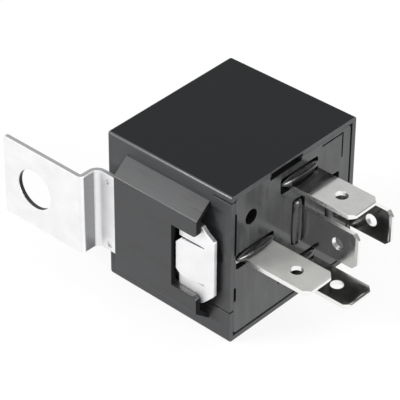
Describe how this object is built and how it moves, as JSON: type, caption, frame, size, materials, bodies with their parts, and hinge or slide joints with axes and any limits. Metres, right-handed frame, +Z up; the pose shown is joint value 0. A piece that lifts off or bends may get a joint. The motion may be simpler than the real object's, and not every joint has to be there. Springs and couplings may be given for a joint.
{
  "type": "automotive relay",
  "caption": "Cube-shaped changeover relay with flat blade terminals at one end and a bent steel mounting bracket held in a sleeve on one side.",
  "frame": {"origin": "centre of the housing's flat side that rests on the table", "axes": "+X out along the blade terminals, -Y towards the bracket's mounting plate, +Z up from the table"},
  "size_m": [0.0542, 0.0336, 0.0272],
  "materials": {
    "cover_plastic": "moulded black plastic with a fine satin skin",
    "base_plastic": "moulded black plastic, a little duller than the cover",
    "bracket_steel": "bright zinc-plated steel strip",
    "blade_tin": "tin-plated brass strip",
    "magnet_iron": "soft iron with a thin plated finish",
    "bobbin_nylon": "natural nylon",
    "copper_wire": "enamelled copper wire",
    "spring_bronze": "rolled phosphor bronze leaf",
    "rivet_metal": "tin-plated brass rivets",
    "contact_silver": "silver alloy contact faces"
  },
  "bodies": {
    "housing": {"cover": "cover_plastic", "base": "base_plastic", "mounting_bracket": "bracket_steel", "terminal_30": "blade_tin", "terminal_85": "blade_tin", "terminal_86": "blade_tin", "terminal_87": "blade_tin", "terminal_87a": "blade_tin", "yoke": "magnet_iron", "core": "magnet_iron", "bobbin": "bobbin_nylon", "coil": "copper_wire", "coil_lead_85": "copper_wire", "coil_lead_86": "copper_wire", "contact_no": "contact_silver", "contact_nc": "contact_silver", "return_spring": "spring_bronze", "return_spring_rivets": "rivet_metal"},
    "moving_armature": {"armature": "magnet_iron", "contact_spring": "spring_bronze", "spring_rivets": "rivet_metal", "moving_contact": "contact_silver"}
  },
  "joints": [
    {"name": "armature_rock", "type": "hinge", "parent": "housing", "child": "moving_armature", "pos_m": [-0.0075, -0.01095, 0.0136], "axis": [0, 0, -1], "range_deg": [0, 2.2], "stiffness_Nm_per_rad": 0.05, "springref_deg": -17.19}
  ]
}
